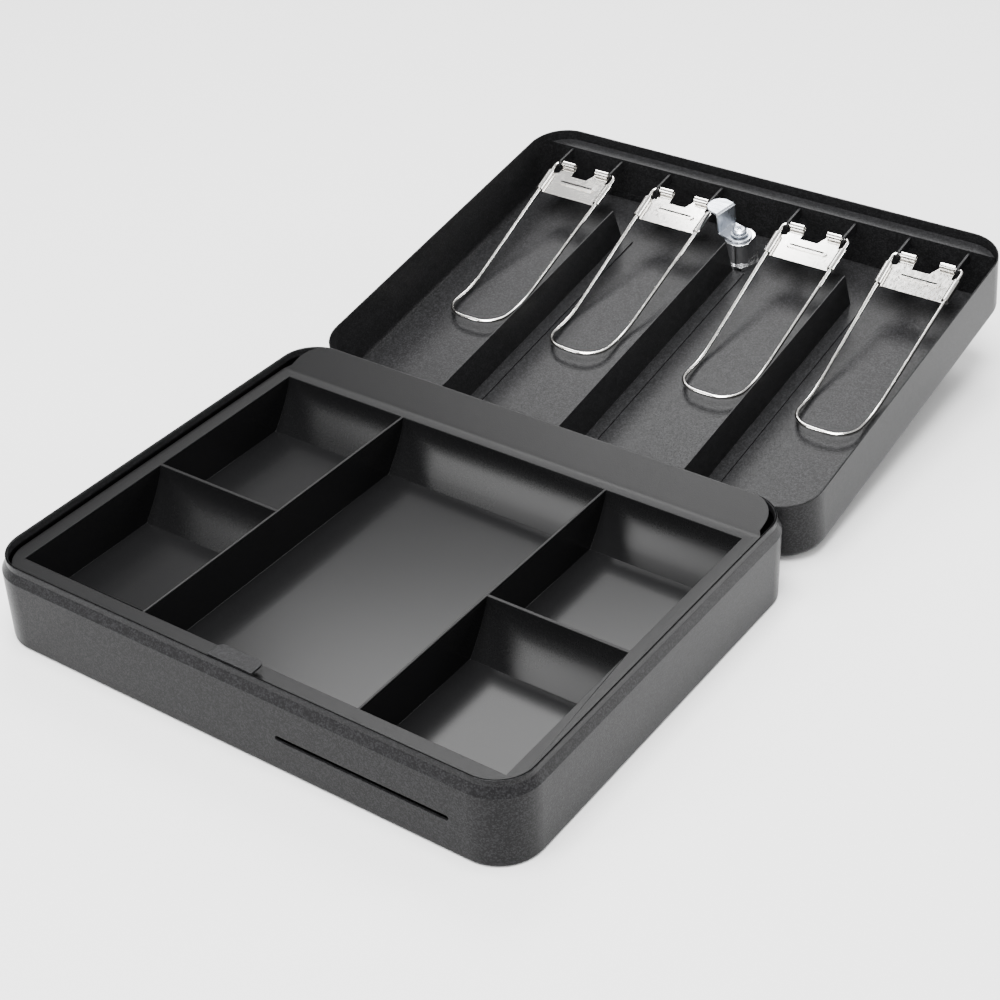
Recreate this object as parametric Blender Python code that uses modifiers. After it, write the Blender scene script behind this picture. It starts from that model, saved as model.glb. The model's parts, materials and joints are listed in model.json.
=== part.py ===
"""Steel cash box, open: case, hinged lid with four note clips, cam lock and a lift-out coin tray."""
from math import asin, cos, degrees, pi, radians, sin

import bmesh
import bpy
from mathutils import Matrix, Vector

# Driving sizes, in metres and degrees. X runs along the front, Y from the front to the hinge, Z up.
width = 0.300
depth = 0.240
corner = 0.022
gap = 0.0003
fit = 0.0010

# Case
case_wall = 0.0378
case_sheet = 0.0012
foot_radius = 0.0025
shoulder_rise = 0.0043
shoulder_inset = 0.00245
neck_height = 0.0034
slot_length = 0.0924
slot_height = 0.0028
slot_x = 0.0720
slot_z = 0.0187

# Lid
lid_seam = 0.0021
lid_height = 0.0354
lid_sheet = 0.0008
lid_edge = 0.0045
lid_open = 170.0

# Hinge
pin_radius = 0.0006
knuckle_radius = 0.0014
leaf_sheet = 0.0006
leaf_height = 0.0150
knuckle_length = 0.0440
knuckles = 5
rivet_radius = 0.0012
rivet_head = 0.0024

# Coin tray
tray_play = 0.0015
tray_front_play = 0.0009
tray_drop = 0.0050
tray_wall = 0.0012
tray_floor = 0.0140
cup_side = 0.0080
cup_front = 0.0106
cup_length = 0.1935
cup_split = 0.1090
column_x = 0.0615
scoop_reach = 0.0150
scoop_curve = 1.45
tray_flat = 0.0036
ledge_rise = 0.0062
ledge_side = 0.0045
post_size = 0.0080

# Catch
catch_width = 0.0250
catch_reach = 0.0130

# Note clips
clip_centres = (-0.1115, -0.0430, 0.0430, 0.1115)
rail_reach = 0.0087
pivot_y = 0.0222
pivot_depth = 0.0097
wire_radius = 0.0011
leg_half = 0.0205
leg_half_end = 0.0180
leg_length = 0.1050
loop_length = 0.0280
loop_bend = 21.6
plate_half = 0.0160
plate_length = 0.0228
plate_sheet = 0.0008
curl_inner = 0.0073
lug_sheet = 0.0012
curl_blend = 0.0001

# Note dividers
divider_pitch = 0.0750
divider_depth = 0.0103
divider_sheet = 0.0006
divider_foot = 0.0080
divider_start = 0.0450
divider_rake = 0.0060

# Lock
lock_y = 0.0340
barrel_radius = 0.0090
barrel_flat = 0.0078
barrel_length = 0.0170
plug_radius = 0.0060
tail_half = 0.0030
cam_width = 0.0140
cam_reach = 0.0222
cam_sheet = 0.0012
cam_rest = 195.0

# Places that follow
case_top = case_wall + shoulder_rise + neck_height
inner_inset = shoulder_inset + case_sheet
rim = case_wall + lid_seam
lid_top = rim + lid_height
lid_floor = lid_top - lid_sheet
hinge_y = depth + gap + knuckle_radius
hinge_z = rim - knuckle_radius - 2.7 * gap
tray_top = case_top - tray_drop
tray_back = depth - inner_inset - gap
cup_back = tray_front_play + inner_inset + cup_front + cup_length
pivot_z = rim + pivot_depth
leg_slope = degrees(asin((lid_floor - gap - wire_radius - pivot_z) / leg_length))
ledge_z = max(rim + 2 * fit, case_top + gap)

for old in list(bpy.data.objects):
    bpy.data.objects.remove(old, do_unlink=True)

parts = bpy.data.collections.new("cash_box")
cutters = bpy.data.collections.new("cutters")
bpy.context.scene.collection.children.link(parts)
bpy.context.scene.collection.children.link(cutters)
cutters.hide_render = True


def paint(name, colour, roughness, metallic):
    """A plain Principled material."""
    material = bpy.data.materials.new(name)
    material.use_nodes = True
    shader = material.node_tree.nodes["Principled BSDF"]
    shader.inputs["Base Color"].default_value = (*colour, 1.0)
    shader.inputs["Roughness"].default_value = roughness
    shader.inputs["Metallic"].default_value = metallic
    return material


powder = paint("powder_coat", (0.035, 0.035, 0.037), 0.55, 0.0)
plastic = paint("black_plastic", (0.030, 0.030, 0.031), 0.45, 0.0)
nickel = paint("nickel", (0.74, 0.72, 0.68), 0.22, 1.0)
chrome = paint("chrome", (0.80, 0.80, 0.81), 0.10, 1.0)
zinc = paint("zinc", (0.56, 0.60, 0.66), 0.34, 1.0)


def frame(name, place, parent=None, turn=(0.0, 0.0, 0.0)):
    """An empty on a joint's axis. Its place is given in the closed box."""
    empty = bpy.data.objects.new(name, None)
    empty["place"] = place
    parts.objects.link(empty)
    empty.location = Vector(place)
    if parent is not None:
        empty.parent = parent
        empty.location -= Vector(parent["place"])
    empty.rotation_euler = turn
    return empty


open_turn = radians(-lid_open)
front_arm = Vector((lid_edge - hinge_y, lid_top - lid_edge - hinge_z))
far_reach = hinge_y + front_arm.x * cos(open_turn) - front_arm.y * sin(open_turn) + lid_edge
middle_y = far_reach / 2

case_frame = frame("case_frame", (0.0, 0.0, 0.0))
case_frame.location.y = -middle_y
lid_frame = frame("lid_frame", (0.0, hinge_y, hinge_z), case_frame, (open_turn, 0.0, 0.0))
tray_front = inner_inset + tray_front_play
tray_frame = frame("tray_frame", (0.0, tray_front, tray_top), case_frame)
lock_frame = frame("lock_frame", (0.0, lock_y, rim), lid_frame, (0.0, 0.0, radians(cam_rest)))
clip_frames = [
    frame(f"clip_frame_{i + 1}", (x, pivot_y, pivot_z), lid_frame, (radians(leg_slope), 0.0, 0.0))
    for i, x in enumerate(clip_centres)
]


def settle(piece, parent, material, own_axes=False):
    """Names the material and hangs the piece on its frame, drawn in the closed box or on the frame's axes."""
    piece.parent = parent
    piece.location = (0.0, 0.0, 0.0) if own_axes else -Vector(parent["place"])
    if material is None:
        piece.display_type = "WIRE"
        piece.hide_render = True
        cutters.objects.link(piece)
        return piece
    parts.objects.link(piece)
    piece.data.materials.clear()
    piece.data.materials.append(material)
    return piece


def solid(name, shape):
    """An object from a bmesh."""
    bmesh.ops.recalc_face_normals(shape, faces=shape.faces)
    mesh = bpy.data.meshes.new(name)
    shape.to_mesh(mesh)
    shape.free()
    return bpy.data.objects.new(name, mesh)


def box(name, x, y, z):
    """A box between pairs of limits."""
    shape = bmesh.new()
    size = Matrix.Diagonal((x[1] - x[0], y[1] - y[0], z[1] - z[0], 1.0))
    middle = Matrix.Translation((sum(x) / 2, sum(y) / 2, sum(z) / 2))
    bmesh.ops.create_cube(shape, size=1.0, matrix=middle @ size)
    return solid(name, shape)


def rod(name, radius, start, end, sides=24):
    """A closed cylinder between two points."""
    start, end = Vector(start), Vector(end)
    turn = Vector((0.0, 0.0, 1.0)).rotation_difference(end - start).to_matrix().to_4x4()
    place = Matrix.Translation((start + end) / 2) @ turn
    shape = bmesh.new()
    bmesh.ops.create_cone(
        shape, cap_ends=True, segments=sides, radius1=radius, radius2=radius,
        depth=(end - start).length, matrix=place,
    )
    return solid(name, shape)


def arc(centre, radius, first, last, steps):
    """Points on an arc, angles in degrees."""
    turns = [radians(first + (last - first) * i / steps) for i in range(steps + 1)]
    return [(centre[0] + radius * cos(a), centre[1] + radius * sin(a)) for a in turns]


def slab(name, points, low, high, along="Z"):
    """A flat outline given a thickness, as a mesh. Along X the outline's points are (y, z)."""
    curve = bpy.data.curves.new(name, "CURVE")
    curve.dimensions = "2D"
    curve.fill_mode = "BOTH"
    curve.extrude = (high - low) / 2
    spline = curve.splines.new("POLY")
    spline.points.add(len(points) - 1)
    for point, (u, v) in zip(spline.points, points):
        point.co = (u, v, 0.0, 1.0)
    spline.use_cyclic_u = True
    drawn = bpy.data.objects.new(name, curve)
    cutters.objects.link(drawn)
    bpy.context.view_layer.update()
    view = bpy.context.evaluated_depsgraph_get()
    mesh = bpy.data.meshes.new_from_object(drawn.evaluated_get(view))
    bpy.data.objects.remove(drawn, do_unlink=True)
    middle = Matrix.Translation((0.0, 0.0, (low + high) / 2))
    upright = Matrix(((0, 0, 1, 0), (1, 0, 0, 0), (0, 1, 0, 0), (0, 0, 0, 1)))
    mesh.transform(upright @ middle if along == "X" else middle)
    shape = bmesh.new()
    shape.from_mesh(mesh)
    bpy.data.meshes.remove(mesh)
    bmesh.ops.remove_doubles(shape, verts=shape.verts, dist=1e-6)
    return solid(name, shape)


def turned(name, profile, sides=24):
    """A piece turned about Z from a profile of (radius, height), top to bottom."""
    mesh = bpy.data.meshes.new(name)
    points = [(radius, 0.0, height) for radius, height in profile]
    mesh.from_pydata(points, [(i, i + 1) for i in range(len(points) - 1)], [])
    piece = bpy.data.objects.new(name, mesh)
    screw = piece.modifiers.new("turn", "SCREW")
    screw.steps = screw.render_steps = sides
    screw.use_merge_vertices = True
    screw.merge_threshold = 0.00001
    screw.use_normal_calculate = False
    close = piece.modifiers.new("axis", "WELD")
    close.merge_threshold = 0.00001
    return piece


def change(piece, tool, operation="DIFFERENCE"):
    """A Boolean with a hidden tool piece that hangs on the same frame."""
    if tool.parent is None:
        tool.parent = piece.parent
        tool.location = piece.location
        tool.display_type = "WIRE"
        tool.hide_render = True
        cutters.objects.link(tool)
    step = piece.modifiers.new(tool.name, "BOOLEAN")
    step.operation = operation
    step.solver = "EXACT"
    step.object = tool
    return piece


def rounded(x, y, radius, steps=8):
    """A rectangle with round corners."""
    points = []
    for i, (cx, cy) in enumerate(((x[1], y[1]), (x[0], y[1]), (x[0], y[0]), (x[1], y[0]))):
        centre = (cx - radius if cx == x[1] else cx + radius, cy - radius if cy == y[1] else cy + radius)
        points += arc(centre, radius, 90 * i, 90 * (i + 1), steps)
    return points


def tub(height, edge, inset=0.0):
    """A round-cornered block on the ground, its lower edge rounded, as a bmesh."""
    shape = bmesh.new()
    size = Matrix.Diagonal((width - 2 * inset, depth - 2 * inset, height, 1.0))
    bmesh.ops.create_cube(shape, size=1.0, matrix=Matrix.Translation((0.0, depth / 2, height / 2)) @ size)
    upright = [e for e in shape.edges if abs(e.verts[0].co.z - e.verts[1].co.z) > height / 2]
    bmesh.ops.bevel(shape, geom=upright, offset=corner - inset, segments=8, profile=0.5, affect="EDGES")
    foot = [e for e in shape.edges if max(v.co.z for v in e.verts) < 1e-6]
    bmesh.ops.bevel(shape, geom=foot, offset=edge, segments=3, profile=0.5, affect="EDGES")
    return shape


def pan(name, height, edge, sheet, rows=()):
    """A round-cornered sheet pan, open at the top, with rows of (inset, height) above its wall."""
    shape = tub(height, edge)
    top = [f for f in shape.faces if f.normal.z > 0.9]
    bmesh.ops.delete(shape, geom=top, context="FACES_ONLY")
    last = 0.0
    for inset, level in rows:
        rim_edges = [e for e in shape.edges if e.is_boundary]
        grown = bmesh.ops.extrude_edge_only(shape, edges=rim_edges)["geom"]
        for v in [item for item in grown if isinstance(item, bmesh.types.BMVert)]:
            core = Vector((
                min(max(v.co.x, corner - width / 2), width / 2 - corner),
                min(max(v.co.y, corner), depth - corner),
            ))
            arm = v.co.xy - core
            v.co.xy -= arm.normalized() * (inset - last)
            v.co.z = level
        last = inset
    piece = solid(name, shape)
    wall = piece.modifiers.new("sheet", "SOLIDIFY")
    wall.thickness = sheet
    wall.offset = -1.0
    wall.use_even_offset = True
    return piece


def flip_over(piece, level):
    """Turns a pan or block over, so that its rounded edge is at the top, at the level."""
    piece.data.transform(Matrix.Diagonal((1.0, 1.0, -1.0, 1.0)))
    piece.data.transform(Matrix.Translation((0.0, 0.0, level)))
    piece.data.flip_normals()
    return piece


def bent(points, sheet):
    """The outline of a sheet folded along points, drawn on the left of its path."""
    path = [Vector(p) for p in points]
    ways = [(b - a).normalized() for a, b in zip(path, path[1:])]
    left = [Vector((-w.y, w.x)) for w in ways]
    back = [path[0] + left[0] * sheet]
    for i, point in enumerate(path[1:-1]):
        mitre = left[i] + left[i + 1]
        back.append(point + mitre * (sheet / (1.0 + left[i].dot(left[i + 1]))))
    back.append(path[-1] + left[-1] * sheet)
    return [tuple(p) for p in path + back[::-1]]


# Case -------------------------------------------------------------------------------------------

def make_case():
    rows = ((shoulder_inset, case_wall + shoulder_rise), (shoulder_inset, case_top))
    case = pan("base_shell", case_wall, foot_radius, case_sheet, rows)
    settle(case, case_frame, powder)
    ends = slot_height / 2
    outline = rounded((slot_x - slot_length / 2, slot_x + slot_length / 2), (slot_z - ends, slot_z + ends),
                      ends - gap / 10, 4)
    slot = slab("slot_tool", outline, -case_sheet * 2, case_sheet * 2)
    slot.data.transform(Matrix(((1, 0, 0, 0), (0, 0, -1, 0), (0, 1, 0, 0), (0, 0, 0, 1))))
    change(case, slot)
    change(case, rivet_holes("case_rivet_tool", base_rivet_x, rivet_drop(-1)))


def make_catch():
    """A short bracket welded inside the front of the neck, which the lock's cam turns under."""
    back = inner_inset + gap
    flange = tray_top + 2 * gap
    path = ((back, flange), (back, case_top), (catch_reach, case_top))
    catch = slab("catch_plate", bent(path, -case_sheet), -catch_width / 2, catch_width / 2, "X")
    settle(catch, case_frame, powder)


# Hinge ------------------------------------------------------------------------------------------

hinge_half = knuckles * knuckle_length / 2
base_rivet_x = [hinge_half * s for s in (-0.86, -0.32, 0.32, 0.86)]
lid_rivet_x = [hinge_half * s for s in (-0.68, -0.14, 0.14, 0.68)]


def rivet_drop(side):
    """The height of a leaf's rivets: below the hinge on the case (-1), above it on the lid (1)."""
    return hinge_z + side * leaf_height * 0.6


def rivet_holes(name, places, level):
    """The holes that the rivets pass through, as one tool of separate rods."""
    shape = bmesh.new()
    for x in places:
        turn = Matrix.Rotation(pi / 2, 4, "X")
        place = Matrix.Translation((x, depth, level)) @ turn
        bmesh.ops.create_cone(
            shape, cap_ends=True, segments=16, radius1=rivet_radius + gap, radius2=rivet_radius + gap,
            depth=8 * case_sheet, matrix=place,
        )
    return solid(name, shape)


def make_leaf(name, side, parent, places):
    """A hinge leaf: a plate on the outer face, with every second knuckle on its edge."""
    face = depth + gap
    ends = sorted((hinge_z, hinge_z + side * leaf_height))
    leaf = box(name, (-hinge_half, hinge_half), (face, face + leaf_sheet), ends)
    settle(leaf, parent, powder)
    clear = knuckle_radius + gap
    for i in range(knuckles):
        own = (i % 2 == 0) == (side < 0)
        x = (-hinge_half + i * knuckle_length, -hinge_half + (i + 1) * knuckle_length)
        if own:
            tube = rod(f"{name}_knuckle_{i}", knuckle_radius, (x[0] + gap / 2, hinge_y, hinge_z),
                       (x[1] - gap / 2, hinge_y, hinge_z))
            change(leaf, tube, "UNION")
        else:
            room = box(f"{name}_room_{i}", (x[0] - gap / 2, x[1] + gap / 2), (face - clear, face + clear),
                       (hinge_z - clear, hinge_z + clear))
            change(leaf, room)
    bore = rod(f"{name}_bore", pin_radius + gap, (-hinge_half - fit, hinge_y, hinge_z),
               (hinge_half + fit, hinge_y, hinge_z), 16)
    change(leaf, bore)
    change(leaf, rivet_holes(f"{name}_holes", places, rivet_drop(side)))


def make_rivets(stem, side, parent, places, sheet):
    """Rivets with a round head on the leaf and a flat one inside the wall."""
    outer = leaf_sheet + 2 * gap
    inner = -sheet - gap
    dome = [(rivet_head * sin(a), outer + 0.4 * rivet_head * cos(a)) for a in (0.0, 0.8, pi / 2)]
    shank = [(rivet_radius, outer), (rivet_radius, inner), (rivet_head * 0.9, inner)]
    profile = dome + shank + [(rivet_head * 0.9, inner - fit / 2), (0.0, inner - fit / 2)]
    for i, x in enumerate(places):
        rivet = turned(f"{stem}_{i + 1}", profile, 12)
        settle(rivet, parent, zinc)
        rivet.rotation_euler.x = -pi / 2
        rivet.location += Vector((x, depth, rivet_drop(side)))


def make_hinge():
    make_leaf("base_hinge_leaf", -1, case_frame, base_rivet_x)
    make_leaf("lid_hinge_leaf", 1, lid_frame, lid_rivet_x)
    pin = rod("hinge_pin", pin_radius, (-hinge_half, hinge_y, hinge_z), (hinge_half, hinge_y, hinge_z), 16)
    settle(pin, case_frame, zinc)
    make_rivets("base_rivet", -1, case_frame, base_rivet_x, case_sheet)
    make_rivets("lid_rivet", 1, lid_frame, lid_rivet_x, lid_sheet)


# Coin tray --------------------------------------------------------------------------------------

def scoop(t):
    """How far a cup's end wall has come in, and how far it has dropped, at a share t of its height."""
    return scoop_reach * t ** scoop_curve, (tray_top - tray_floor) * t


def cup_profile(front, back, grow=0.0):
    """A cup's (y, z) section: scooped ends and a flat floor. It grows outwards."""
    top = tray_top + (-tray_wall / 2 if grow else fit)
    steps = [scoop(i / 6) for i in range(1, 6)]
    reach = scoop(1)[0]
    down = [(front - grow + y, tray_top - z) for y, z in steps] + [(front - grow + reach, tray_floor - grow)]
    up = [(back + front - y, z) for y, z in reversed(down)]
    return [(front - grow, top)] + down + up + [(back + grow, top)]


def make_tray():
    """The moulded tray: a rim, five cups, a raised ledge over the case's back and posts to the floor."""
    side = width / 2 - inner_inset - tray_play
    cup_x = side - cup_side
    cup_y = tray_front + cup_front
    flat = cup_back + tray_flat
    rise = [(tray_front - fit, tray_top), (flat, tray_top), (flat + fit * 2, tray_top + ledge_rise * 0.12),
            (tray_back - fit, tray_top + ledge_rise), (tray_back + fit, tray_top + ledge_rise)]
    sheet = slab("coin_tray", bent(rise, -tray_wall), -side - fit, side + fit, "X")
    settle(sheet, tray_frame, plastic)
    front_round = corner - inner_inset - tray_front_play
    back_round = front_round - 0.6 * ledge_side
    near = [(-side, flat), *arc((front_round - side, tray_front + front_round), front_round, 180, 270, 8)]
    inside = side - ledge_side + tray_play
    far = [(inside, flat + ledge_side), *arc((inside - back_round, tray_back - back_round), back_round, 0, 90, 8)]
    half = [(-x, y) for x, y in reversed(near)] + far
    outline = half + [(-x, y) for x, y in reversed(half)]
    change(sheet, slab("tray_outline", outline, 0.0, 2 * tray_top), "INTERSECT")
    tub = slab("tray_tub", cup_profile(cup_y, cup_back, tray_wall), -cup_x - tray_wall, cup_x + tray_wall, "X")
    change(sheet, tub, "UNION")
    half_wall = tray_wall / 2
    sides = ((-cup_x, -column_x - half_wall), (column_x + half_wall, cup_x))
    for i, x in enumerate(sides):
        hollow = [scoop(t) for t in (0.4, 0.6, 0.8, 1.0)]
        halves = [(y + half_wall - 1.6 * tray_wall, tray_top - z) for y, z in hollow]
        halves.append((halves[-1][0], 0.0))
        under = [(cup_split + y, z) for y, z in halves] + [(cup_split - y, z) for y, z in reversed(halves)]
        change(sheet, slab(f"tray_valley_{i}", under, x[0] + tray_wall, x[1] - tray_wall, "X"))
    spans = ((cup_y, cup_split - half_wall), (cup_split + half_wall, cup_back))
    for i, x in enumerate(sides):
        for j, y in enumerate(spans):
            change(sheet, slab(f"cup_tool_{i}_{j}", cup_profile(*y), *x, "X"))
    middle = (-column_x + half_wall, column_x - half_wall)
    change(sheet, slab("cup_tool_middle", cup_profile(cup_y, cup_back), *middle, "X"))
    low = case_sheet + gap
    posts_x = (-cup_x + post_size, 0.0, cup_x - post_size)
    posts_y = (cup_y + scoop_reach + post_size, cup_back - scoop_reach - post_size)
    for i, x in enumerate(posts_x):
        for j, y in enumerate(posts_y):
            half = post_size / 2
            post = box(f"tray_post_{i}_{j}", (x - half, x + half), (y - half, y + half),
                       (low, tray_floor - tray_wall / 2))
            change(sheet, post, "UNION")


# Lid --------------------------------------------------------------------------------------------

def make_lid():
    lid = flip_over(pan("lid_shell", lid_height, lid_edge, lid_sheet), lid_top)
    settle(lid, lid_frame, powder)
    hole = rod("lock_hole", barrel_radius + gap, (0.0, lock_y, lid_floor - fit), (0.0, lock_y, lid_top + fit), 32)
    change(lid, hole)
    change(lid, rivet_holes("lid_rivet_tool", lid_rivet_x, rivet_drop(1)))


def make_rail():
    """The folded rail along the lid's front, with a pair of lugs for each clip."""
    inner = lid_sheet + gap
    end = lid_floor - gap
    path = ((inner, ledge_z + 8 * case_sheet), (inner, ledge_z), (rail_reach, ledge_z), (rail_reach, end + fit))
    rail = slab("clip_rail", bent(path, divider_sheet), -width / 2, width / 2, "X")
    settle(rail, lid_frame, powder)
    room = solid("rail_room", tub(end - rim, lid_edge - inner, inner))
    change(rail, flip_over(room, end), "INTERSECT")
    eye = wire_radius + gap + plate_sheet + gap
    arm = (rail_reach - divider_sheet / 2, pivot_y)
    outline = [(arm[0], pivot_z + eye), *arc((pivot_y, pivot_z), eye, 90, -90, 8), (arm[0], pivot_z - eye)]
    for i, centre in enumerate(clip_centres):
        for j, way in enumerate((-1, 1)):
            x = sorted((centre + way * lug_x(), centre + way * (lug_x() + lug_sheet)))
            change(rail, slab(f"lug_{i}_{j}", outline, *x, "X"), "UNION")
    bore = rod("lug_bore", wire_radius + gap, (-width / 2, pivot_y, pivot_z), (width / 2, pivot_y, pivot_z), 16)
    change(rail, bore)


def lug_x():
    """How far a lug's inner face lies from the clip's middle line."""
    return leg_half - wire_radius - gap - 2 * lug_sheet + gap


def make_dividers():
    """Three upright plates with a foot, their front ends cut on a slant."""
    top = rim + divider_depth
    foot = lid_floor - gap
    back = depth - lid_sheet - corner / 3
    for i, x in enumerate((-divider_pitch, 0.0, divider_pitch)):
        path = ((x + divider_foot, foot), (x, foot), (x, top))
        section = bent(path, divider_sheet)
        divider = slab(f"divider_{i + 1}", section, divider_start, back)
        divider.data.transform(Matrix(((1, 0, 0, 0), (0, 0, 1, 0), (0, 1, 0, 0), (0, 0, 0, 1))))
        divider.data.flip_normals()
        settle(divider, lid_frame, powder)
        slant = [(divider_start - fit, foot), (divider_start, foot),
                 (divider_start + divider_rake, top - fit), (divider_start - fit, top - fit)]
        change(divider, slab(f"divider_slant_{i + 1}", slant, x - fit, x + fit, "X"))


# Note clips -------------------------------------------------------------------------------------

def wire_route():
    """The wire's points on the clip's own axes: pin, leg, kink and raised round loop, then mirrored."""
    bend = 2 * wire_radius
    slant = (leg_half - leg_half_end) / leg_length
    first = [(plate_half / 2, 0.0), (leg_half - bend, 0.0)]
    first += arc((leg_half - bend, bend), bend, -90, 0, 4)[1:]
    first += [(leg_half - slant * leg_length * t, leg_length * t) for t in (0.25, 0.5, 0.75, 1.0)]
    turn = leg_half_end * 0.78
    first += [(leg_half_end, leg_length + (loop_length - turn) * 0.5)]
    first += arc((leg_half_end - turn, leg_length + loop_length - turn), turn, 0, 90, 8)
    route = []
    for x, y in first:
        past = max(0.0, y - leg_length)
        flat = min(y, leg_length)
        route.append((x, flat + past * cos(radians(loop_bend)), -past * sin(radians(loop_bend))))
    return route + [(-x, y, z) for x, y, z in reversed(route)]


def make_wire(name, parent):
    curve = bpy.data.curves.new(name, "CURVE")
    curve.dimensions = "3D"
    curve.bevel_depth = wire_radius
    curve.bevel_resolution = 2
    curve.use_fill_caps = True
    points = wire_route()
    spline = curve.splines.new("POLY")
    spline.points.add(len(points) - 1)
    for point, place in zip(spline.points, points):
        point.co = (*place, 1.0)
    settle(bpy.data.objects.new(name, curve), parent, nickel, own_axes=True)


def make_plate(name, parent):
    """The sheet between the legs: curled over the pins at the back, and round the legs at its sides."""
    outer = wire_radius + gap + plate_sheet
    under = (wire_radius + gap + curl_blend, outer - curl_blend)
    slant = (leg_half - leg_half_end) / leg_length
    neck = 0.26 * plate_length
    notch_end = 0.29 * plate_length
    shoulder = 0.34 * plate_length
    leg = [(leg_half - slant * y, y, 0.0) for y in (shoulder + curl_blend, plate_length - curl_blend)]
    right = [(curl_inner, 0.0), (plate_half, 0.0), (plate_half, neck), (leg[0][0], shoulder),
             (leg[1][0], plate_length)]
    notch = [(-curl_inner, notch_end), (0.45 * curl_inner, notch_end)]
    outline = right + [(-x, y) for x, y in reversed(right)] + notch
    plate = slab(name, outline, *under)
    settle(plate, parent, nickel, own_axes=True)
    for way in (-1, 1):
        ends = [(way * x, 0.0, 0.0) for x in (curl_inner + curl_blend, plate_half - curl_blend)]
        change(plate, rod(f"{name}_curl_{way}", outer, *ends, 14), "UNION")
        sleeve = [(way * x, y, z) for x, y, z in leg]
        change(plate, rod(f"{name}_sleeve_{way}", outer, *sleeve, 14), "UNION")
    for way in (-1, 1):
        start = (way * (leg_half + slant * fit), -fit, 0.0)
        end = (way * (leg_half - slant * 2 * plate_length), 2 * plate_length, 0.0)
        change(plate, rod(f"{name}_leg_{way}", wire_radius + gap, start, end, 12))
    pin = rod(f"{name}_pin", wire_radius + gap, (-leg_half, 0.0, 0.0), (leg_half, 0.0, 0.0), 12)
    change(plate, pin)


def make_clips():
    for i, parent in enumerate(clip_frames):
        make_wire(f"clip_wire_{i + 1}", parent)
        make_plate(f"clip_plate_{i + 1}", parent)


# Lock -------------------------------------------------------------------------------------------

def make_lock():
    """Barrel and nut fixed in the lid; plug, cam, washer and screw turn with the key. Heights rise from the rim."""
    lid_in = lid_floor - rim
    lid_out = lid_top - rim + gap
    low = lid_in - barrel_length
    head = barrel_radius + 2 * fit
    bore = plug_radius + gap
    profile = [(bore, lid_out + 1.5 * fit), (head - fit / 2, lid_out + 1.5 * fit), (head, lid_out + fit),
               (head, lid_out), (barrel_radius, lid_out), (barrel_radius, low), (bore, low)]
    barrel = turned("lock_barrel", profile + profile[:1], 32)
    settle(barrel, lid_frame, chrome)
    barrel.location = Vector((0.0, lock_y, rim)) - Vector(lid_frame["place"])
    for way in (-1, 1):
        flat = sorted((way * barrel_flat, way * head))
        change(barrel, box(f"barrel_flat_{way}", flat, (-head, head), (low - fit, lid_in - 3 * fit)))
    sides = [radians(60 * i) for i in range(6)]
    across = (divider_start - lock_y - fit) / cos(pi / 6)
    ring = [(across * cos(a), across * sin(a)) for a in sides]
    nut = slab("lock_nut", ring, lid_in - gap - 2.5 * fit, lid_in - gap)
    settle(nut, lid_frame, chrome)
    nut.location = barrel.location
    change(nut, rod("nut_bore", barrel_radius + gap, (0.0, 0.0, lid_in - 4 * fit), (0.0, 0.0, lid_in + fit), 32))

    plug = rod("lock_plug", plug_radius, (0.0, 0.0, low), (0.0, 0.0, lid_out + fit), 32)
    settle(plug, lock_frame, chrome, own_axes=True)
    tail_low = low - cam_sheet - 3 * gap
    change(plug, box("plug_tail", (-tail_half, tail_half), (-tail_half, tail_half), (tail_low, low + fit)), "UNION")
    blade = fit * 0.8
    change(plug, box("keyway", (-plug_radius * 0.6, plug_radius * 0.6), (-blade, blade),
                     (lid_out - 8 * fit, lid_out + 2 * fit)))

    cam_high = low - gap
    tab = 2.7 * fit
    bend = barrel_radius + 2 * fit
    path = ((-tail_half - 3 * fit, cam_high), (bend, cam_high), (bend, tab + cam_sheet), (cam_reach, tab + cam_sheet))
    profile = bent(path, -cam_sheet)
    cam = slab("lock_cam", profile, -cam_width / 2, cam_width / 2)
    cam.data.transform(Matrix(((1, 0, 0, 0), (0, 0, 1, 0), (0, 1, 0, 0), (0, 0, 0, 1))))
    cam.data.flip_normals()
    settle(cam, lock_frame, zinc, own_axes=True)
    half = cam_width / 2
    ends = [*arc((cam_reach - half, 0.0), half, -90, 90, 12), *arc((-tail_half, 0.0), half, 90, 270, 12)]
    change(cam, slab("cam_outline", ends, 0.0, lid_in), "INTERSECT")
    room = tail_half + gap
    change(cam, box("cam_hole", (-room, room), (-room, room), (low - 3 * fit, low + fit)))

    top = tail_low - gap
    washer = turned("cam_washer", [(tail_half * 0.6, top), (1.7 * tail_half, top), (1.7 * tail_half, top - fit),
                                   (tail_half * 0.6, top - fit), (tail_half * 0.6, top)])
    settle(washer, lock_frame, zinc, own_axes=True)
    seat = top - fit - gap
    screw_head = 1.35 * tail_half
    dome = [(0.0, seat), (screw_head, seat), (screw_head, seat - fit), (screw_head * 0.7, seat - 1.9 * fit),
            (0.0, seat - 2.2 * fit)]
    screw = turned("cam_screw", dome)
    settle(screw, lock_frame, zinc, own_axes=True)
    for name, turn in (("recess_a", 0.0), ("recess_b", pi / 2)):
        bar = box(name, (-screw_head * 0.5, screw_head * 0.5), (-fit * 0.4, fit * 0.4),
                  (seat - 3 * fit, seat - 1.2 * fit))
        bar.data.transform(Matrix.Rotation(turn, 4, "Z"))
        change(screw, bar)


make_case()
make_catch()
make_hinge()
make_tray()
make_lid()
make_rail()
make_dividers()
make_clips()
make_lock()
bpy.context.view_layer.update()
print("middle_y", middle_y, "hinge", hinge_y - middle_y, hinge_z, "clip slope", leg_slope)
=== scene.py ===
import json
from math import cos, pi, radians, sin

import bmesh
import bpy
from mathutils import Matrix, Vector

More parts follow.
